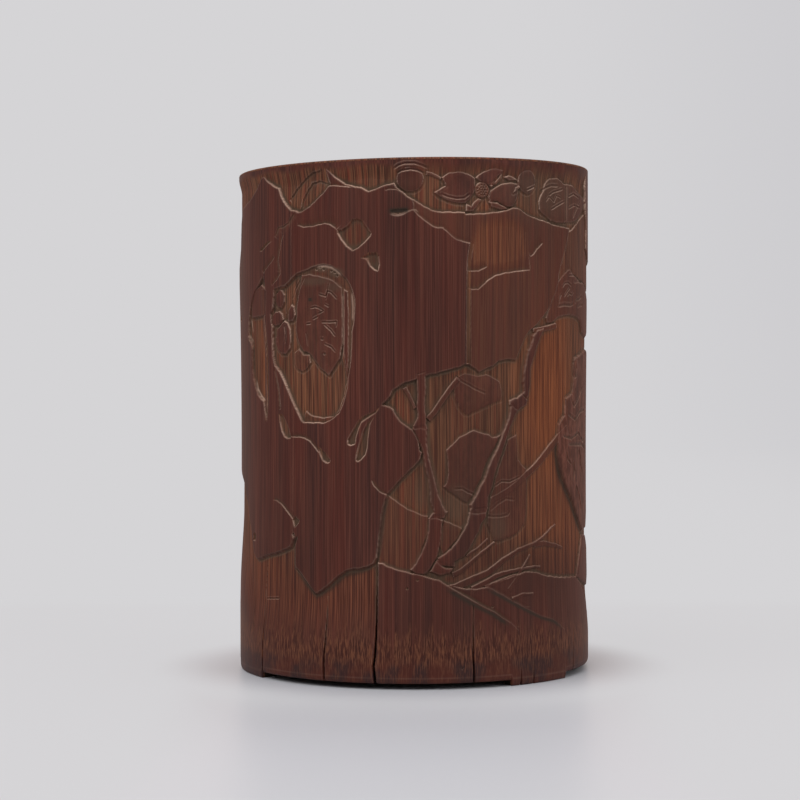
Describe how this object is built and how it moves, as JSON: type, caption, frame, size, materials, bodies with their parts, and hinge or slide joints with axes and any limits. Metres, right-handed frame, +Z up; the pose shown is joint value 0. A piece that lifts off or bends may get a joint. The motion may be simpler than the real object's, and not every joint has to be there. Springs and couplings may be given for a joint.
{
  "type": "bamboo brush pot",
  "caption": "Open cylindrical brush pot cut from a bamboo stalk, carved in low relief, on three low feet, with a floor disc let in from below.",
  "frame": {"origin": "middle of the foot plane, on the stalk's own axis", "axes": "+Z up along the stalk, -Y towards the carved front with the rock and its window, +X to the right of that front"},
  "size_m": [0.11, 0.1086, 0.1562],
  "materials": {
    "carved_bamboo": "satin dark red-brown patina, lighter orange-brown on the cut ground",
    "floor_wood": "matt dark brown"
  },
  "bodies": {
    "root": {"culm_wall": "carved_bamboo", "floor_disc": "floor_wood"}
  },
  "joints": []
}
